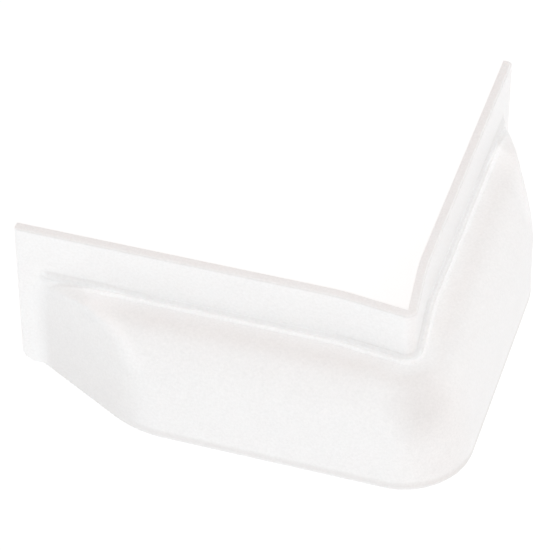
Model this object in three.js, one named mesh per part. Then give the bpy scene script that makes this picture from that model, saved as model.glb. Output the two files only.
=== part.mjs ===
// Dock corner bumper: a solid foam moulding that wraps the outer corner of a dock.
// Millimetres, +Z up. It is drawn with the dock's corner on the Z axis: the left arm lies along -X
// with its back in y = 0, the right arm along +Y with its back in x = 0, and the dock stands where
// x < 0 and y > 0. The finished part is then moved so that it is centred on the origin in plan.
import * as THREE from 'three';

// overall
const armLength = 254;         // from the dock corner to each end
const height = 113.6;          // underside to the top edge of the flange
const cornerRelief = 5.2;      // how far the back stands off the dock corner, on both axes
const reliefLength = 39;       // stretch of each arm over which the back leaves the dock face
const reliefBlend = 1;         // softness of the bend where it leaves

// fixing flange, bare above the body and at both ends
const flangeThickness = 6.3;
const flangeBand = 33.2;       // top edge down to the crest of the bead
const tabLength = 12.2;        // bare flange at each end, beside the foot of the ramp
const tabCornerRadius = 8;     // lower outer corner of the tab
const flangeEdgeRadius = 1.6;  // front edge along the top and down the ends

// bumper body
const bodyDepth = 50.4;        // dock face to the front, where the front meets the ramp
const frontBow = 0.9;          // how much deeper the front is at the outer corner
const cornerCentre = 4.5;      // axis of the outer corner's arcs, out from the dock faces
const bottomRadius = 3.6;      // rounding along the lower edge
const frontDraft = 1.4;        // how far the front leans in from the rounding up to the shoulder
const shoulderHeight = 43.5;   // quarter ellipse between the front and the shelf
const shelfDepth = 20;         // dock face to the outer edge of the flat shelf

// bead and valley between the shelf and the flange
const beadHeight = 1.5;        // crest of the bead above the shelf
const beadOffset = 4;          // flange face to the crest of the bead
const beadFoot = 6;            // flange face to the foot of the bead on the shelf
const valleyDepth = 0.7;       // below the crest of the bead
const valleyOffset = 2;        // flange face to the valley's lowest line
const valleyRise = 3;          // how far the valley's fillet climbs the flange

// end ramps, from the tab to the front
const rampAngleFoot = 28.7;    // degrees off the flange, below the shoulder
const rampAngleTop = 24.5;     // degrees off the flange, at the top of the shoulder
const rampFillet = 3.3;        // blend between the tab and the ramp
const creaseSoft = 10;         // blend between the ramp and the front, near the foot
const creaseSharp = 1;         // the same blend, once it has narrowed up the shoulder
const creaseClimb = 0.87;      // share of the shoulder's height over which it narrows
const crestDrop = 14;          // height over which the top of the ramp rounds into the shelf
const crestSetback = 26.5;     // how far the shelf's corner stands back from the foot of the ramp
const crestAngle = 42;         // degrees off the flange, along the shelf's end
const crestSoft = 3;           // blend between the ramp and its rounded top
const crestClosing = 0.3;      // how much the shelf's end closes in, for each millimetre nearer the flange
const shortestRamp = 10;       // least length kept for the ramp where the body is shallow

// mesh density
const tiltSpan = 0.5;          // stretch over which the front's direction is taken at the corner
const steps = {
  bottom: 4, front: 2, shoulder: 13, shelf: 2, bead: 12, band: 3, edge: 3,
  endEdge: 3, tab: 2, fillet: 6, ramp: 5, crease: 7, face: 5, bend: 3, near: 2, corner: 14, back: 5,
};

const slopeOf = (degrees) => Math.tan(THREE.MathUtils.degToRad(degrees));
const lerp = THREE.MathUtils.lerp;
const clamp01 = (t) => THREE.MathUtils.clamp(t, 0, 1);
const shelfLevel = height - flangeBand - beadHeight;
const shoulderLevel = shelfLevel - shoulderHeight;
const shoulderDepth = bodyDepth - frontDraft;

// smaller of two depths, blended where they differ by less than the width
function softMin(a, b, width) {
  const overlap = Math.max(width - Math.abs(a - b), 0) / width;
  return Math.min(a, b) - overlap * overlap * width / 4;
}

function softMax(a, b, width) {
  return -softMin(-a, -b, width);
}

// Cross-section of an arm from the underside up: depth off the dock face, level, and the level that
// the back and the bare flange take beside it, which always rises.
function crossSection() {
  const section = [];
  const add = (depth, level, backLevel = level) => section.push({ depth, level, backLevel });
  for (let i = 0; i <= steps.bottom; i++) {
    const turn = i / steps.bottom * Math.PI / 2;
    add(bodyDepth - bottomRadius * (1 - Math.sin(turn)), bottomRadius * (1 - Math.cos(turn)));
  }
  for (let i = 1; i < steps.front; i++) {
    const t = i / steps.front;
    add(bodyDepth - frontDraft * t, lerp(bottomRadius, shoulderLevel, t));
  }
  for (let i = 0; i <= steps.shoulder; i++) {
    const turn = i / steps.shoulder * Math.PI / 2;
    const reach = (shoulderDepth - shelfDepth) * Math.cos(turn);
    add(shelfDepth + reach, shoulderLevel + shoulderHeight * Math.sin(turn));
  }
  const shelfTop = section.length - 1;
  const footDepth = flangeThickness + beadFoot;
  for (let i = 1; i < steps.shelf; i++) {
    add(lerp(shelfDepth, footDepth, i / steps.shelf), shelfLevel);
  }
  const valleyLevel = shelfLevel + beadHeight - valleyDepth;
  const bead = new THREE.SplineCurve([
    new THREE.Vector2(footDepth, shelfLevel),
    new THREE.Vector2(flangeThickness + beadOffset, shelfLevel + beadHeight),
    new THREE.Vector2(flangeThickness + valleyOffset, valleyLevel),
    new THREE.Vector2(flangeThickness + valleyOffset * 0.25, valleyLevel + valleyRise * 0.4),
    new THREE.Vector2(flangeThickness, valleyLevel + valleyRise),
  ]);
  for (const p of bead.getPoints(steps.bead)) {
    add(p.x, p.y);
  }
  const bandFoot = section.length - 1;
  for (let i = shelfTop; i < bandFoot; i++) {
    const t = (i - shelfTop) / (bandFoot - shelfTop);
    section[i].backLevel = lerp(section[shelfTop].level, section[bandFoot].level, t);
  }
  const edgeLevel = height - flangeEdgeRadius;
  for (let i = 1; i < steps.band; i++) {
    add(flangeThickness, lerp(section[bandFoot].level, edgeLevel, i / steps.band));
  }
  for (let i = 0; i <= steps.edge; i++) {
    const turn = i / steps.edge * Math.PI / 2;
    const inset = flangeEdgeRadius * (1 - Math.cos(turn));
    add(flangeThickness - inset, edgeLevel + flangeEdgeRadius * Math.sin(turn));
  }
  return section;
}

// How the ramp lies beside a step of the cross-section: where it leaves the tab and its slope, the
// same for its rounded top, and the softness of its crease with the front.
function rampAt(depth, level) {
  const foot = armLength - tabLength;
  const undercut = level < bottomRadius ? bodyDepth - depth : 0;
  const lean = clamp01((level - shoulderLevel) / shoulderHeight);
  const slope = slopeOf(lerp(rampAngleFoot, rampAngleTop, lean * lean));
  const climb = clamp01((level - shelfLevel + crestDrop) / crestDrop);
  const rounding = crestSetback * (1 - Math.sqrt(1 - climb * climb));
  return {
    start: foot - undercut / slope,
    slope,
    crestStart: foot - rounding - crestClosing * Math.max(shelfDepth - depth, 0),
    crestSlope: slopeOf(crestAngle),
    crease: lerp(creaseSoft, creaseSharp, clamp01(lean / creaseClimb)),
  };
}

// How far the back of an arm stands off the dock face, at a distance along the arm.
const reliefSlope = cornerRelief / (reliefLength + cornerRelief);
const relief = (along) => softMax(0, reliefSlope * (reliefLength - along), reliefBlend);

// Front of an arm at one step of the cross-section: its depth off the dock face and its level at a
// distance along the arm.
function armFront({ depth, level, backLevel }, ramp) {
  const flange = Math.min(depth, flangeThickness);
  const rise = depth - flange;
  const bodyShare = clamp01((depth - shelfDepth) / (shoulderDepth - shelfDepth));
  const bow = (along) => frontBow * bodyShare * (1 - along / armLength);
  const follow = (along) => relief(along) * (1 - bodyShare);
  const rampDepth = (along) => flangeThickness + softMin(
    (ramp.start - along) * ramp.slope,
    (ramp.crestStart - along) * ramp.crestSlope,
    crestSoft,
  );
  const bodyDepthAt = (along) => softMin(rampDepth(along), depth + follow(along) + bow(along), ramp.crease);
  const bare = (along) => flange + follow(along);
  const fillet = Math.min(rampFillet, 2 * rise);
  const depthAt = (along) => (rise > 0 ? softMax(bodyDepthAt(along), bare(along), fillet) : bare(along));
  const levelAt = (along) => lerp(backLevel, level, clamp01(depthAt(along) - bare(along)));
  return { flange, depthAt, levelAt };
}

// Distances along an arm, from the last one towards the first, close together where the shape turns.
function stationsOf(spans) {
  const stations = [];
  for (const [from, to, count] of spans) {
    for (let i = 0; i < count; i++) stations.push(lerp(from, to, i / count));
  }
  return stations;
}

// The plan outline at one step of the cross-section: its front from the left end round to the right
// end, and its back along the dock faces from the right end to the left.
function outline(step) {
  const { depth, level, backLevel } = step;
  const ramp = rampAt(depth, level);
  const { flange, depthAt, levelAt } = armFront(step, ramp);
  const tabRise = Math.max(tabCornerRadius - level, 0);
  const end = armLength - tabCornerRadius + Math.sqrt(tabCornerRadius ** 2 - tabRise ** 2);

  // the corner arc starts square to the front's own direction
  const tilt = Math.atan((depthAt(-cornerCentre) - depthAt(tiltSpan - cornerCentre)) / tiltSpan);
  const radius = (depthAt(-cornerCentre) - cornerCentre) * Math.cos(tilt);

  const rampStart = Math.min(ramp.start, ramp.crestStart);
  const rise = depth - flangeThickness;
  const creaseAlong = Math.min(
    ramp.start - rise / ramp.slope,
    ramp.crestStart - rise / ramp.crestSlope,
    rampStart - shortestRamp,
  );
  const filletHalf = rampFillet / ramp.slope;
  const creaseHalf = ramp.crease / ramp.slope;
  const bendHalf = reliefBlend / (2 * reliefSlope);
  const bendStart = reliefLength + bendHalf;
  const bendEnd = reliefLength - bendHalf;
  const stations = stationsOf([
    [end - flangeEdgeRadius, rampStart + filletHalf, steps.tab],
    [rampStart + filletHalf, rampStart - filletHalf / 2, steps.fillet],
    [rampStart - filletHalf / 2, creaseAlong + creaseHalf / 2, steps.ramp],
    [creaseAlong + creaseHalf / 2, creaseAlong - creaseHalf, steps.crease],
    [creaseAlong - creaseHalf, bendStart, steps.face],
    [bendStart, bendEnd, steps.bend],
    [bendEnd, radius * Math.sin(tilt) - cornerCentre, steps.near],
  ]);

  const armPoints = [];
  for (let i = 0; i < steps.endEdge; i++) {
    const turn = i / steps.endEdge * Math.PI / 2;
    const inset = flangeEdgeRadius * (1 - Math.cos(turn));
    armPoints.push([end - inset, flange - flangeEdgeRadius * (1 - Math.sin(turn)), backLevel]);
  }
  for (const along of stations) armPoints.push([along, depthAt(along), levelAt(along)]);

  const frontPath = armPoints.map(([along, out, z]) => new THREE.Vector3(-along, -out, z));
  for (let i = 0; i <= steps.corner; i++) {
    const turn = lerp(-tilt, Math.PI / 2 + tilt, i / steps.corner);
    const x = cornerCentre + radius * Math.sin(turn);
    frontPath.push(new THREE.Vector3(x, -cornerCentre - radius * Math.cos(turn), level));
  }
  for (const [along, out, z] of armPoints.toReversed()) frontPath.push(new THREE.Vector3(out, along, z));

  const backStations = stationsOf([
    [end, bendStart, steps.back],
    [bendStart, bendEnd, steps.bend],
    [bendEnd, -cornerRelief, steps.near],
  ]);
  const backPath = backStations.map((along) => new THREE.Vector3(relief(along), along, backLevel));
  backPath.push(new THREE.Vector3(cornerRelief, -cornerRelief, backLevel));
  for (const along of backStations.toReversed()) {
    backPath.push(new THREE.Vector3(-along, -relief(along), backLevel));
  }
  return { frontPath, backPath };
}

// Triangles between the front and the back of one outline, taken in turn from the left end.
function capTriangles({ frontPath, backPath }) {
  const count = frontPath.length + backPath.length;
  const triangles = [];
  let front = 0;
  let back = 0;
  while (front < frontPath.length - 1 || back < backPath.length - 1) {
    const frontShare = (front + 1) / (frontPath.length - 1);
    const backShare = (back + 1) / (backPath.length - 1);
    const frontNext = front < frontPath.length - 1 && frontShare <= backShare;
    const backIndex = count - 1 - back;
    triangles.push(frontNext ? [front, front + 1, backIndex] : [front, backIndex - 1, backIndex]);
    front += frontNext ? 1 : 0;
    back += frontNext ? 0 : 1;
  }
  return triangles;
}

// Skin between the outlines, closed by the underside and the top edge.
function loft(outlines) {
  const rings = outlines.map(({ frontPath, backPath }) => [...frontPath, ...backPath]);
  const count = rings[0].length;
  const index = [];
  for (let k = 0; k < rings.length - 1; k++) {
    for (let i = 0; i < count; i++) {
      const next = (i + 1) % count;
      const a = k * count + i;
      const b = k * count + next;
      index.push(a, b, b + count, a, b + count, a + count);
    }
  }
  const top = (rings.length - 1) * count;
  for (const [a, b, c] of capTriangles(outlines[0])) index.push(a, c, b);
  for (const [a, b, c] of capTriangles(outlines.at(-1))) index.push(top + a, top + b, top + c);

  const geometry = new THREE.BufferGeometry();
  const positions = rings.flat().flatMap((p) => [p.x, p.y, p.z]);
  geometry.setAttribute('position', new THREE.Float32BufferAttribute(positions, 3));
  geometry.setIndex(index);
  geometry.computeVertexNormals();
  return geometry;
}

function cornerBumper() {
  const foam = new THREE.MeshStandardMaterial({ color: 0xf3f0ef, roughness: 0.62, metalness: 0 });
  const geometry = loft(crossSection().map(outline));
  geometry.computeBoundingBox();
  const middle = geometry.boundingBox.getCenter(new THREE.Vector3());
  geometry.translate(-middle.x, -middle.y, 0);
  const bumper = new THREE.Mesh(geometry, foam);
  bumper.name = 'corner_bumper';
  return bumper;
}

const dockCornerBumper = new THREE.Group();
dockCornerBumper.add(cornerBumper());

export default dockCornerBumper;
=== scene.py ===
import math

import bmesh
import bpy
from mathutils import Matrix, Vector


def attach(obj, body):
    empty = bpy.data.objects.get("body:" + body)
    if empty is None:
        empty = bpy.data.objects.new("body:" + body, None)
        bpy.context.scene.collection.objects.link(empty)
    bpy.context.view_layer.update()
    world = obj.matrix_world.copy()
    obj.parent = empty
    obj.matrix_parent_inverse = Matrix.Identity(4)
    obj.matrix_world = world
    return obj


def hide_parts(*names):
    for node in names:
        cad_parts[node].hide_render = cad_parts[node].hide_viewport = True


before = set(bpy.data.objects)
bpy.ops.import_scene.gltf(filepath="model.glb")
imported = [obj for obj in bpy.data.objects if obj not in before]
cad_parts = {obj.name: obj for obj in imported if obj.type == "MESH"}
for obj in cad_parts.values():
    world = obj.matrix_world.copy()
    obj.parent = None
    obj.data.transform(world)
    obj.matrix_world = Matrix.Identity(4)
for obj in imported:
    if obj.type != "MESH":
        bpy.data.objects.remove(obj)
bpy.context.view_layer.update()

millimetre = 0.001
print("frame loaded")


# Camera

camera = {
    "place": (0.453868, -1.493269, 1.425574),  # metres, two metres off, above and in front of the left arm
    "azimuth": 17.347,                          # degrees, turned to the left
    "lookDown": 41.955,                         # degrees below the horizon
    "lens": 205.92,
    "sensor": 36.0,
}


def makeCamera(values):
    data = bpy.data.cameras.new("studioCamera")
    data.lens = values["lens"]
    data.sensor_width = values["sensor"]
    data.clip_start = 0.05
    data.clip_end = 30
    body = bpy.data.objects.new("studioCamera", data)
    body.location = values["place"]
    body.rotation_euler = (math.radians(90 - values["lookDown"]), 0, math.radians(values["azimuth"]))
    bpy.context.scene.collection.objects.link(body)
    bpy.context.scene.camera = body


makeCamera(camera)
print("camera set")


# Small helpers

def lerp(a, b, t):
    return a + (b - a) * t


def clamp01(t):
    return min(max(t, 0.0), 1.0)


def smooth01(t):
    t = clamp01(t)
    return t * t * (3 - 2 * t)


def softMin(a, b, width):  # smaller of two, blended where they differ by less than the width
    overlap = max(width - abs(a - b), 0) / width
    return min(a, b) - overlap * overlap * width / 4


def softMax(a, b, width):
    return -softMin(-a, -b, width)


def splinePoint(points, t):  # uniform Catmull-Rom through the points, t from 0 to 1
    place = t * (len(points) - 1)
    k = min(int(place), len(points) - 2)
    u = place - k
    p0, p1 = points[max(k - 1, 0)], points[k]
    p2, p3 = points[k + 1], points[min(k + 2, len(points) - 1)]
    result = []
    for a, b, c, d in zip(p0, p1, p2, p3):
        v0, v1 = (c - a) / 2, (d - b) / 2
        cubic = 2 * b - 2 * c + v0 + v1
        square = -3 * b + 3 * c - 2 * v0 - v1
        result.append(cubic * u ** 3 + square * u ** 2 + v0 * u + b)
    return result


# The bumper: one soft moulding, drawn with the dock's corner on the Z axis, left arm along -X and
# right arm along +Y, in millimetres, then moved so that it is centred on the origin in plan.

bumper = {
    "armLength": 254.0,
    "height": 113.6,
    "cornerRelief": 5.2,      # the back stands off the dock corner by this
    "reliefLength": 39.0,
    "reliefBlend": 1.0,
    "flangeThickness": 6.3,
    "flangeBand": 33.2,       # top edge down to the crest of the bead
    "tabLength": 12.2,        # bare flange past the end of the ramp
    "tabCornerRadius": 8.0,
    "flangeEdgeRadius": 1.6,
    "bodyDepth": 50.4,
    "frontBow": 0.9,          # the front stands out by this at the corner
    "cornerCentre": 4.5,      # centre of the outer corner's turn, off the dock corner both ways
    "bottomRadius": 3.6,
    "frontDraft": 1.4,
    "shoulderHeight": 43.5,
    "shelfDepth": 20.0,
    "beadHeight": 1.5,
    "beadOffset": 4.7,        # flange face to the crest of the bead
    "beadFoot": 6.6,          # flange face to the foot of the bead on the shelf
    "valleyDepth": 0.7,       # below the crest of the bead
    "valleyWidth": 3.2,       # flange face to where the bead rises from the valley's floor
    "valleyFillet": 1.6,
    "beadEnd": 209.0,         # along the arm, where the bead has run out
    "beadFade": 26.0,
    "endFilletTop": 84.8,     # level at which the hollow at the arm's end starts
    "endFilletRise": 5.9,
    "endFilletDepth": 2.2,
    "endFilletFrom": 160.0,   # along the arm
    "endFilletFade": 36.0,
    "endFilletTo": 238.0,
    "endFilletClosing": 8.0,
    "endFilletBlend": 3.0,
    "rampAngleFoot": 28.7,    # degrees off the flange
    "rampAngleTop": 24.5,
    "rampFillet": 3.3,        # blend between the tab and the ramp
    "creaseSoft": 10.0,       # blend between the ramp and the body, low down
    "creaseSharp": 4.0,       # the same blend near the shelf
    "creaseClimb": 0.87,      # share of the shoulder over which the crease gets sharp
    "crestDrop": 14.0,        # height over which the top of the ramp rounds into the shelf
    "crestSetback": 26.5,     # how far along the arm that rounding goes
    "crestAngle": 42.0,       # degrees off the flange, along the shelf's end
    "crestSoft": 3.0,         # blend between the ramp and its rounded top
    "crestClosing": 0.3,      # how much further back the crest lies towards the flange, per millimetre
    "shortestRamp": 10.0,
    "leastBlend": 0.01,
    "sameSpot": 0.01,         # points nearer than this are merged
    "sharpAngle": 40.0,       # degrees
    "steps": {
        "bottom": 6, "front": 10, "shoulder": 34, "shelf": 6, "bead": 26, "band": 14, "edge": 5,
        "endEdge": 5, "tab": 20, "fillet": 14, "ramp": 18, "crease": 22, "face": 30, "bend": 8,
        "near": 8, "corner": 36, "back": 24,
    },
}


def slopeOf(degrees):
    return math.tan(math.radians(degrees))


def crossSection(b):  # from the underside up: depth off the dock face, level, level of the back beside it
    steps = b["steps"]
    shelfLevel = b["height"] - b["flangeBand"] - b["beadHeight"]
    shoulderLevel = shelfLevel - b["shoulderHeight"]
    shoulderDepth = b["bodyDepth"] - b["frontDraft"]
    section = []
    for i in range(steps["bottom"] + 1):
        turn = i / steps["bottom"] * math.pi / 2
        level = b["bottomRadius"] * (1 - math.cos(turn))
        section.append([b["bodyDepth"] - b["bottomRadius"] * (1 - math.sin(turn)), level, level])
    for i in range(1, steps["front"]):
        t = (i / steps["front"]) ** 1.5
        level = lerp(b["bottomRadius"], shoulderLevel, t)
        section.append([b["bodyDepth"] - b["frontDraft"] * t, level, level])
    for i in range(steps["shoulder"] + 1):
        turn = i / steps["shoulder"] * math.pi / 2
        level = shoulderLevel + b["shoulderHeight"] * math.sin(turn)
        section.append([b["shelfDepth"] + (shoulderDepth - b["shelfDepth"]) * math.cos(turn), level, level])
    shelfTop = len(section) - 1
    footDepth = b["flangeThickness"] + b["beadFoot"]
    for i in range(1, steps["shelf"]):
        section.append([lerp(b["shelfDepth"], footDepth, i / steps["shelf"]), shelfLevel, shelfLevel])
    valleyLevel = shelfLevel + b["beadHeight"] - b["valleyDepth"]
    beadPoints = [
        (footDepth, shelfLevel),
        (b["flangeThickness"] + b["beadOffset"], shelfLevel + b["beadHeight"]),
        (b["flangeThickness"] + b["valleyWidth"], valleyLevel),
        (b["flangeThickness"] + b["valleyFillet"], valleyLevel),
        (b["flangeThickness"], valleyLevel + b["valleyFillet"]),
    ]
    for i in range(steps["bead"] + 1):
        depth, level = splinePoint(beadPoints, i / steps["bead"])
        section.append([depth, level, level])
    bandFoot = len(section) - 1
    for i in range(shelfTop, bandFoot):  # the back always rises
        share = (i - shelfTop) / (bandFoot - shelfTop)
        section[i][2] = lerp(section[shelfTop][1], section[bandFoot][1], share)
    edgeLevel = b["height"] - b["flangeEdgeRadius"]
    for i in range(1, steps["band"]):
        level = lerp(section[bandFoot][1], edgeLevel, (1 - math.cos(i / steps["band"] * math.pi)) / 2)
        section.append([b["flangeThickness"], level, level])
    for i in range(steps["edge"] + 1):
        turn = i / steps["edge"] * math.pi / 2
        level = edgeLevel + b["flangeEdgeRadius"] * math.sin(turn)
        section.append([b["flangeThickness"] - b["flangeEdgeRadius"] * (1 - math.cos(turn)), level, level])
    return section


def rampAt(b, depth, level):  # where the ramp and its rounded top leave the tab, their slopes, and the crease
    shelfLevel = b["height"] - b["flangeBand"] - b["beadHeight"]
    shoulderLevel = shelfLevel - b["shoulderHeight"]
    foot = b["armLength"] - b["tabLength"]
    undercut = b["bodyDepth"] - depth if level < b["bottomRadius"] else 0
    lean = clamp01((level - shoulderLevel) / b["shoulderHeight"])
    slope = slopeOf(lerp(b["rampAngleFoot"], b["rampAngleTop"], lean * lean))
    climb = clamp01((level - shelfLevel + b["crestDrop"]) / b["crestDrop"])
    rounding = b["crestSetback"] * (1 - math.sqrt(1 - climb * climb))
    return {
        "start": foot - undercut / slope,
        "slope": slope,
        "crestStart": foot - rounding - b["crestClosing"] * max(b["shelfDepth"] - depth, 0),
        "crestSlope": slopeOf(b["crestAngle"]),
        "crease": lerp(b["creaseSoft"], b["creaseSharp"], clamp01(lean / b["creaseClimb"])),
    }


def spans(parts):
    stations = []
    for start, stop, count in parts:
        stations += [lerp(start, stop, i / count) for i in range(count)]
    return stations


def outline(b, marks, depth, level, backLevel):  # outline at one level, with shade: front, then back
    steps = b["steps"]
    ramp = rampAt(b, depth, level)
    tabRise = max(b["tabCornerRadius"] - level, 0)
    end = b["armLength"] - b["tabCornerRadius"] + math.sqrt(b["tabCornerRadius"] ** 2 - tabRise ** 2)
    flange = min(depth, b["flangeThickness"])
    rise = depth - flange
    shoulderDepth = b["bodyDepth"] - b["frontDraft"]
    bodyShare = clamp01((depth - b["shelfDepth"]) / (shoulderDepth - b["shelfDepth"]))
    reliefSlope = b["cornerRelief"] / (b["reliefLength"] + b["cornerRelief"])
    shelfLevel = b["height"] - b["flangeBand"] - b["beadHeight"]

    def relief(along):
        return softMax(0, reliefSlope * (b["reliefLength"] - along), b["reliefBlend"])

    def bare(along):
        return flange + relief(along) * (1 - bodyShare)

    def ownLevel(along):  # the bead fades out to the level of the shelf
        fade = smooth01((b["beadEnd"] - along) / b["beadFade"])
        kept = lerp(1, fade, clamp01(rise / b["valleyFillet"]))
        return min(level, shelfLevel) + max(level - shelfLevel, 0) * kept

    def endFillet(along):  # wide hollow between the flange and the top of the ramp, at the ends only
        climb = clamp01((b["endFilletTop"] - ownLevel(along)) / b["endFilletRise"])
        inside = smooth01((along - b["endFilletFrom"]) / b["endFilletFade"])
        closing = smooth01((b["endFilletTo"] - along) / b["endFilletClosing"])
        return b["endFilletDepth"] * climb ** 2 * inside * closing

    def rampDepth(along):
        return b["flangeThickness"] + softMin(
            (ramp["start"] - along) * ramp["slope"],
            (ramp["crestStart"] - along) * ramp["crestSlope"],
            b["crestSoft"],
        )

    def faceDepth(along):
        bow = b["frontBow"] * bodyShare * (1 - along / b["armLength"])
        return depth + relief(along) * (1 - bodyShare) + bow

    def depthAt(along):
        if rise <= 0:
            return bare(along) + endFillet(along)
        body = softMin(rampDepth(along), faceDepth(along), ramp["crease"])
        body = softMax(body, bare(along), min(b["rampFillet"], 2 * rise))
        fillet = endFillet(along)
        blend = b["endFilletBlend"] * min(fillet, 1) + b["leastBlend"]
        return softMax(body, bare(along) + fillet, blend)

    def levelAt(along):
        return lerp(backLevel, ownLevel(along), clamp01(depthAt(along) - bare(along)))

    def recessShadeAt(along, own, out):  # painted shade in the valley and the end hollow
        atEnd = smooth01((along - marks["hollowFrom"]) / marks["hollowFade"])
        nearCorner = smooth01((marks["valleyCornerFrom"] - along) / marks["valleyCornerFade"])
        valleyTop = marks["valleyTop"] + marks["valleyCornerRise"] * nearCorner
        top = lerp(valleyTop, b["endFilletTop"] + marks["hollowAbove"], atEnd)
        foot = lerp(marks["valleyFoot"], marks["hollowFoot"], atEnd)
        widening = smooth01((along - marks["hollowWideFrom"]) / marks["hollowWideFade"])
        outermost = lerp(marks["valleyOut"], marks["hollowOut"], widening)
        last = b["armLength"] - b["tabLength"] - marks["hollowShort"]
        recessShade = smooth01((top - own) / marks["valleySoft"])
        recessShade *= smooth01((outermost - out) / marks["valleyOutFade"])
        recessShade *= smooth01((own - foot) / marks["valleyFootFade"])
        recessShade *= smooth01((last - along) / marks["footFade"])
        return recessShade * lerp(marks["valleyShade"], marks["hollowShade"], atEnd)

    def flangeShade(recessShade):  # painted shade on the flange, in the recesses and on its top edge
        below = b["height"] - level
        edge = lerp(marks["topEdgeShade"], marks["topRoundShade"], smooth01(below / marks["topRoundFade"]))
        return max(2 * recessShade, edge * smooth01((marks["topEdgeReach"] - below) / marks["topEdgeFade"]))

    def rimAt(along, beyond, out):  # painted highlight along the crest of the ramp, and over the shelf's tip
        above = level - marks["rimFrom"]
        rim = smooth01(1 - abs(beyond + marks["rimPlace"]) / marks["rimReach"])
        tip = smooth01((along - marks["tipFrom"]) / marks["tipFade"]) * smooth01(above / marks["tipRise"])
        return max(rim, tip) * smooth01(above / marks["rimRise"]) * clamp01(out / marks["rimOut"])

    # painted highlight on the bead's front
    def beadFrontAt(own, out):
        crestLevel = b["height"] - b["flangeBand"]
        far = math.hypot(out - marks["beadPlace"], own - crestLevel + b["beadHeight"] / 3)
        onBead = clamp01((own - shelfLevel) * 2 + 1)
        return (1 - smooth01(far / marks["beadReach"])) * onBead

    def shadeAt(along):  # 0 on the flange, 1 on the body, up to 2 with painted shade, below 0 with painted highlights
        own = ownLevel(along)
        out = depthAt(along) - bare(along)
        recessShade = recessShadeAt(along, own, out)
        if rise <= 0:
            return flangeShade(recessShade)
        beyond = faceDepth(along) - rampDepth(along)
        spread = ramp["crease"] * marks["creaseSpread"] + 1
        onRamp = smooth01(out / marks["footFade"]) * smooth01((beyond / spread + 1) / 2)
        onFace = 1 - onRamp
        rampShade = lerp(marks["rampShadeLow"], marks["rampShadeHigh"], clamp01(level / shelfLevel))
        lowEdge = 1 - smooth01(abs(level - marks["lowEdgeLevel"]) / marks["lowEdgeReach"])
        outward = depth - b["shelfDepth"] - marks["shelfEdgeOut"]
        downward = shelfLevel - marks["shelfEdgeDown"] - level
        shelfEdge = 1 - smooth01(math.hypot(outward, downward) / marks["shelfEdgeReach"])
        # painted shade on the ramp, the band above the bottom edge and the shelf's edge; painted highlights
        # on the ramp's rim and the bead's front
        body = smooth01(out / marks["flangeFade"]) + rampShade * onRamp
        body += marks["lowEdgeShade"] * lowEdge * clamp01(out / marks["lowEdgeOut"]) * onFace
        body += marks["shelfEdgeShade"] * shelfEdge * onFace
        body -= marks["rimShine"] * rimAt(along, beyond, out) * onFace
        body -= marks["beadShine"] * beadFrontAt(own, out)
        return lerp(body, 2, recessShade)

    span = 0.5
    centre = b["cornerCentre"]
    tilt = math.atan((depthAt(-centre) - depthAt(span - centre)) / span)
    radius = (depthAt(-centre) - centre) * math.cos(tilt)
    rampStart = min(ramp["start"], ramp["crestStart"])
    reach = depth - b["flangeThickness"]
    creaseAlong = min(
        ramp["start"] - reach / ramp["slope"],
        ramp["crestStart"] - reach / ramp["crestSlope"],
        rampStart - b["shortestRamp"],
    )
    filletHalf = b["rampFillet"] / ramp["slope"]
    creaseHalf = ramp["crease"] / ramp["slope"]
    bendHalf = b["reliefBlend"] / (2 * reliefSlope)
    bendStart = b["reliefLength"] + bendHalf
    bendEnd = b["reliefLength"] - bendHalf
    stations = spans([
        (end - b["flangeEdgeRadius"], rampStart + filletHalf, steps["tab"]),
        (rampStart + filletHalf, rampStart - filletHalf / 2, steps["fillet"]),
        (rampStart - filletHalf / 2, creaseAlong + creaseHalf / 2, steps["ramp"]),
        (creaseAlong + creaseHalf / 2, creaseAlong - creaseHalf, steps["crease"]),
        (creaseAlong - creaseHalf, bendStart, steps["face"]),
        (bendStart, bendEnd, steps["bend"]),
        (bendEnd, radius * math.sin(tilt) - centre, steps["near"]),
    ])
    arm = []
    for i in range(steps["endEdge"]):
        turn = i / steps["endEdge"] * math.pi / 2
        inset = b["flangeEdgeRadius"] * (1 - math.cos(turn))
        arm.append((end - inset, flange - b["flangeEdgeRadius"] * (1 - math.sin(turn)), backLevel, 0.0))
    arm += [(along, depthAt(along), levelAt(along), shadeAt(along)) for along in stations]

    points = [(-along, -out, z, shade) for along, out, z, shade in arm]
    for i in range(steps["corner"] + 1):
        turn = lerp(-tilt, math.pi / 2 + tilt, i / steps["corner"])
        x, y = centre + radius * math.sin(turn), -centre - radius * math.cos(turn)
        points.append((x, y, level, shadeAt(-centre)))
    points += [(out, along, z, shade) for along, out, z, shade in reversed(arm)]
    frontCount = len(points)

    backStations = spans([
        (end, bendStart, steps["back"]),
        (bendStart, bendEnd, steps["bend"]),
        (bendEnd, -b["cornerRelief"], steps["near"]),
    ])
    # painted shade of the top edge, carried across the top face
    backShade = marks["topEdgeShade"] if level > b["height"] - b["sameSpot"] else 0.0
    points += [(relief(along), along, backLevel, backShade) for along in backStations]
    points.append((b["cornerRelief"], -b["cornerRelief"], backLevel, backShade))
    points += [(-along, -relief(along), backLevel, backShade) for along in reversed(backStations)]
    return points, frontCount


def capFaces(first, frontCount, total, up):  # strip of faces between the front and the back of one outline
    faces = []
    backCount = total - frontCount
    front = back = 0
    while front < frontCount - 1 or back < backCount - 1:
        frontNext = front < frontCount - 1 and (front + 1) / (frontCount - 1) <= (back + 1) / (backCount - 1)
        backIndex = total - 1 - back
        face = (front, front + 1, backIndex) if frontNext else (front, backIndex - 1, backIndex)
        faces.append(tuple(first + k for k in (face if up else reversed(face))))
        front += 1 if frontNext else 0
        back += 0 if frontNext else 1
    return faces


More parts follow.
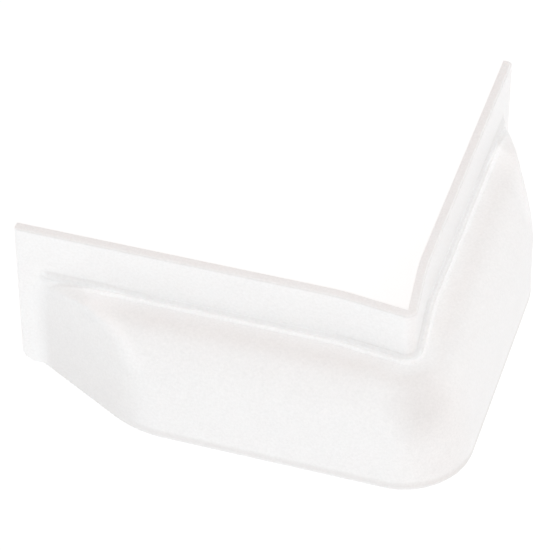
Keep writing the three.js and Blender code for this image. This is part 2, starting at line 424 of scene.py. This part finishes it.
# painted shade on the outer corner's shoulder
def cornerShade(marks, x, y, z):
    acrossX, acrossY = x - marks["cornerPlace"][0], y - marks["cornerPlace"][1]
    far = math.hypot(acrossX, acrossY, (z - marks["cornerPlace"][2]) / marks["cornerStretch"])
    return marks["cornerShade"] * (1 - smooth01(far / marks["cornerReach"]))


def makeBumper(b, marks):
    rings = [outline(b, marks, *step) for step in crossSection(b)]
    frontCount = rings[0][1]
    total = len(rings[0][0])
    vertices = [p for points, _ in rings for p in points]
    faces = []
    for k in range(len(rings) - 1):
        for i in range(total):
            j = (i + 1) % total
            faces.append((k * total + i, k * total + j, (k + 1) * total + j, (k + 1) * total + i))
    faces += capFaces(0, frontCount, total, False)
    faces += capFaces((len(rings) - 1) * total, frontCount, total, True)
    middleX = (min(p[0] for p in vertices) + max(p[0] for p in vertices)) / 2
    middleY = (min(p[1] for p in vertices) + max(p[1] for p in vertices)) / 2
    mesh = bpy.data.meshes.new("softBumper")
    mesh.from_pydata(
        [((x - middleX) * millimetre, (y - middleY) * millimetre, z * millimetre) for x, y, z, _ in vertices],
        [], faces,
    )
    # painted shade and highlights, kept per point for the material
    shade = mesh.attributes.new("paintedShade", "FLOAT", "POINT")
    for k, (x, y, z, own) in enumerate(vertices):
        shade.data[k].value = own + cornerShade(marks, x, y, z)
    merged = bmesh.new()  # rings run together where the bead and the shelf end
    merged.from_mesh(mesh)
    bmesh.ops.remove_doubles(merged, verts=merged.verts, dist=b["sameSpot"] * millimetre)
    merged.to_mesh(mesh)
    merged.free()
    mesh.validate()
    mesh.shade_smooth()
    mesh.set_sharp_from_angle(angle=math.radians(b["sharpAngle"]))
    piece = bpy.data.objects.new("softBumper", mesh)
    bpy.context.scene.collection.objects.link(piece)
    return piece


# Materials

def linearColour(hexText):  # sRGB hex to the linear values that the shader takes
    channels = [int(hexText[k:k + 2], 16) / 255 for k in (0, 2, 4)]
    return [c / 12.92 if c <= 0.04045 else ((c + 0.055) / 1.055) ** 2.4 for c in channels] + [1.0]


def addNode(tree, kind, settings=None, links=None):  # a node, with its settings and what feeds its sockets
    node = tree.nodes.new(kind)
    for name, value in (settings or {}).items():
        if isinstance(name, int) or name in node.inputs:
            node.inputs[name].default_value = value
        else:
            setattr(node, name, value)
    for name, source in (links or {}).items():
        tree.links.new(source, node.inputs[name])
    return node


foam = {
    "colourHighlight": "fdfdfd",       # painted highlight, on the bead's front and the crest of the ramps
    "colourFlange": "f8f8f8",    # thin foam, with light passing through
    "colourBody": "f4f4f4",
    "colourPaintedShade": "e4e2e1",     # painted shade, as at the outer corner and in the valley
    "mottle": 0.05,              # share by which grain and clouds change the colour
    "mottleReach": 0.3,          # noise this far off its middle gives the full share
    "cloud": 16.0,               # mm across the slow changes of tone
    "cloudShare": 0.25,
    "cloudRoughness": 0.55,
    "grain": 1.8,                # mm across one grain of the moulded skin
    "grainRoughness": 0.7,
    "grainRange": (0.3, 0.7),    # where nearly all of the grain's noise lies
    "grainDepth": 0.1,           # mm
    "noiseDetail": 3.0,
    "pore": 0.55,                # mm across a closed cell that shows through the skin
    "poreShare": 0.35,
    "roughness": (0.45, 0.56),   # on the tops and in the dips of the grain
    "ior": 1.49,
    "seeThrough": 0.05,
    "seeThroughDepth": 3.0,      # mm
    "seeThroughColour": (1.0, 0.85, 0.8),
}

paintedLightMarks = {  # painted shade and highlights; millimetres, in the bumper's own drawing; shades run from -1, lightest, to 2, darkest
    "flangeFade": 5.0,
    "footFade": 5.0,
    "creaseSpread": 0.6,
    # painted shade on the ramps at the arms' ends, darker low down
    "rampShadeLow": 0.5,
    "rampShadeHigh": 0.05,
    "rimShine": 1.3,             # painted highlight along the crest of the ramp
    "rimPlace": 2.5,
    "rimReach": 7.0,
    "rimFrom": 48.0,
    "rimRise": 15.0,
    "rimOut": 3.0,
    "tipFrom": 172.0,            # along the arm, where the painted highlight on the shelf's tip starts
    "tipFade": 22.0,
    "tipRise": 25.0,
    # painted shade along the shelf's outer edge
    "shelfEdgeShade": 0.15,
    "shelfEdgeOut": 5.0,
    "shelfEdgeDown": 2.0,
    "shelfEdgeReach": 12.0,
    # painted shade in a band just above the bottom edge
    "lowEdgeShade": 0.7,
    "lowEdgeLevel": 5.2,
    "lowEdgeReach": 3.4,
    "lowEdgeOut": 6.0,
    # painted shade on the flange's top edge and its rounding
    "topEdgeShade": 0.7,
    "topRoundShade": 1.5,
    "topRoundFade": 0.6,
    "topEdgeReach": 2.0,
    "topEdgeFade": 1.2,
    # painted shade in the valley behind the bead
    "valleyShade": 0.74,
    "valleyTop": 82.8,
    "valleySoft": 2.5,
    "valleyOut": 3.4,
    "valleyOutFade": 2.0,
    "valleyFoot": 68.0,
    "valleyFootFade": 7.0,
    "valleyCornerFrom": 55.0,    # along the arm, where the valley's shade starts to rise to the corner
    "valleyCornerFade": 30.0,
    "valleyCornerRise": 0.8,
    "hollowShade": 0.72,         # painted shade in the hollow between the flange and the top of the ramp
    "hollowAbove": 0.6,
    "hollowFoot": 73.0,
    "hollowFrom": 150.0,
    "hollowFade": 55.0,
    "hollowWideFrom": 198.0,
    "hollowWideFade": 14.0,
    "hollowOut": 6.5,
    "hollowShort": 4.0,
    # painted highlight on the bead's front
    "beadShine": 1.4,
    "beadPlace": 5.2,
    "beadReach": 2.7,
    # painted shade on the outer corner's shoulder
    "cornerShade": 0.85,
    "cornerPlace": (20.0, -32.0, 58.5),
    "cornerReach": 27.0,
    "cornerStretch": 1.35,
}


def mouldedEvaFoam(values):
    # Closed-cell EVA foam, moulded in a blasted tool: a matte skin with fine grain, a broad soft
    # sheen and a little light passing through it, so that edges look soft.
    material = bpy.data.materials.new("mouldedEvaFoam")
    material.use_nodes = True
    tree = material.node_tree
    tree.nodes.clear()
    place = addNode(tree, "ShaderNodeTexCoord").outputs["Object"]
    cloud = addNode(tree, "ShaderNodeTexNoise", {
        "Scale": 1 / (values["cloud"] * millimetre),
        "Detail": values["noiseDetail"],
        "Roughness": values["cloudRoughness"],
    }, {"Vector": place})
    grain = addNode(tree, "ShaderNodeTexNoise", {
        "Scale": 1 / (values["grain"] * millimetre),
        "Detail": values["noiseDetail"],
        "Roughness": values["grainRoughness"],
    }, {"Vector": place})
    pores = addNode(tree, "ShaderNodeTexVoronoi", {
        "Scale": 1 / (values["pore"] * millimetre),
    }, {"Vector": place})

    # the painted shade and highlights pick the colour from the ramp below
    shade = addNode(tree, "ShaderNodeAttribute", {"attribute_name": "paintedShade"})
    rampPlace = addNode(tree, "ShaderNodeMath", {
        "operation": "MULTIPLY_ADD", 1: 1 / 3, 2: 1 / 3,
    }, {0: shade.outputs["Fac"]})
    ramp = addNode(tree, "ShaderNodeValToRGB", None, {"Fac": rampPlace.outputs["Value"]})
    ramp.color_ramp.elements[0].color = linearColour(values["colourHighlight"])
    ramp.color_ramp.elements[1].color = linearColour(values["colourPaintedShade"])
    ramp.color_ramp.elements.new(1 / 3).color = linearColour(values["colourFlange"])
    ramp.color_ramp.elements.new(2 / 3).color = linearColour(values["colourBody"])

    mottle = addNode(tree, "ShaderNodeMath", {
        "operation": "MULTIPLY_ADD", 1: values["cloudShare"],
    }, {0: cloud.outputs["Fac"], 2: grain.outputs["Fac"]})
    middle = 0.5 * (1 + values["cloudShare"])
    tone = addNode(tree, "ShaderNodeMapRange", {
        "From Min": middle - values["mottleReach"],
        "From Max": middle + values["mottleReach"],
        "To Min": 1 - values["mottle"],
        "To Max": 1 + values["mottle"],
    }, {"Value": mottle.outputs["Value"]})
    colour = addNode(tree, "ShaderNodeVectorMath", {"operation": "SCALE"}, {
        0: ramp.outputs["Color"],
        "Scale": tone.outputs["Result"],
    })
    rough = addNode(tree, "ShaderNodeMapRange", {
        "From Min": values["grainRange"][0],
        "From Max": values["grainRange"][1],
        "To Min": values["roughness"][0],
        "To Max": values["roughness"][1],
    }, {"Value": grain.outputs["Fac"]})
    height = addNode(tree, "ShaderNodeMath", {
        "operation": "MULTIPLY_ADD", 1: values["poreShare"],
    }, {0: pores.outputs["Distance"], 2: grain.outputs["Fac"]})
    bump = addNode(tree, "ShaderNodeBump", {
        "Strength": 1.0,
        "Distance": values["grainDepth"] * millimetre,
    }, {"Height": height.outputs["Value"]})

    shader = addNode(tree, "ShaderNodeBsdfPrincipled", {
        "IOR": values["ior"],
        "Subsurface Weight": values["seeThrough"],
        "Subsurface Scale": values["seeThroughDepth"] * millimetre,
        "Subsurface Radius": values["seeThroughColour"],
    }, {
        "Base Color": colour.outputs["Vector"],
        "Roughness": rough.outputs["Result"],
        "Normal": bump.outputs["Normal"],
    })
    addNode(tree, "ShaderNodeOutputMaterial", None, {"Surface": shader.outputs["BSDF"]})
    return material


piece = makeBumper(bumper, paintedLightMarks)
piece.data.materials.append(mouldedEvaFoam(foam))
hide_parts("corner_bumper")
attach(piece, "root")
print("bumper made:", len(piece.data.vertices), "points")


# Studio: pale floor and soft light

studio = {
    "floorSize": 12.0,
    "floorColour": "a0a0a0",
    "floorGlow": 0.736,         # lit from below, as a light table, so that shadows stay faint
    "worldColour": "ffe4da",
    "worldStrength": 0.502,
}

softboxes = {  # degrees, metres and watts
    "key": {"azimuth": 20, "height": 50, "distance": 2.5, "size": 1.5, "power": 17.8, "colour": "edfcff"},
    "left": {"azimuth": -40, "height": 35, "distance": 2.5, "size": 2.0, "power": 12.5, "colour": "c5f0ff"},
    "right": {"azimuth": 60, "height": 35, "distance": 2.5, "size": 2.0, "power": 5.8, "colour": "ebf6ff"},
    "back": {"azimuth": 140, "height": 30, "distance": 2.5, "size": 2.4, "power": 23.2, "colour": "d8f6ff"},
    "top": {"azimuth": 0, "height": 90, "distance": 2.5, "size": 1.5, "power": 3.2, "colour": "ffd3bd"},
}


def makeFloor(values):
    size = values["floorSize"] / 2
    corners = [(-size, -size, 0), (size, -size, 0), (size, size, 0), (-size, size, 0)]
    mesh = bpy.data.meshes.new("studioFloor")
    mesh.from_pydata(corners, [], [(0, 1, 2, 3)])
    floor = bpy.data.objects.new("studioFloor", mesh)
    bpy.context.scene.collection.objects.link(floor)
    material = bpy.data.materials.new("paintedPaleBoard")  # matte painted board, even and nearly white
    material.use_nodes = True
    shader = material.node_tree.nodes["Principled BSDF"]
    shader.inputs["Base Color"].default_value = linearColour(values["floorColour"])
    shader.inputs["Roughness"].default_value = 0.9
    shader.inputs["Specular IOR Level"].default_value = 0.1
    shader.inputs["Emission Color"].default_value = (1, 1, 1, 1)
    shader.inputs["Emission Strength"].default_value = values["floorGlow"]
    mesh.materials.append(material)


def makeWorld(values):
    world = bpy.data.worlds.new("studioWorld")
    bpy.context.scene.world = world
    world.use_nodes = True
    background = world.node_tree.nodes["Background"]
    background.inputs["Color"].default_value = linearColour(values["worldColour"])
    background.inputs["Strength"].default_value = values["worldStrength"]


def addSoftbox(name, values):  # square, aimed at the origin; azimuth 0 faces the left arm, 90 the right
    azimuth, height = math.radians(values["azimuth"]), math.radians(values["height"])
    across = math.cos(height)
    toLamp = Vector((math.sin(azimuth) * across, -math.cos(azimuth) * across, math.sin(height)))
    data = bpy.data.lights.new(name, "AREA")
    data.shape = "SQUARE"
    data.size = values["size"]
    data.energy = values["power"]
    data.color = linearColour(values["colour"])[:3]
    lamp = bpy.data.objects.new(name, data)
    lamp.location = toLamp * values["distance"]
    lamp.rotation_euler = (-toLamp).to_track_quat("-Z", "Y").to_euler()
    bpy.context.scene.collection.objects.link(lamp)


makeFloor(studio)
makeWorld(studio)
for name, values in softboxes.items():
    addSoftbox(name, values)
bpy.context.scene.view_settings.view_transform = "Standard"
print("studio set")
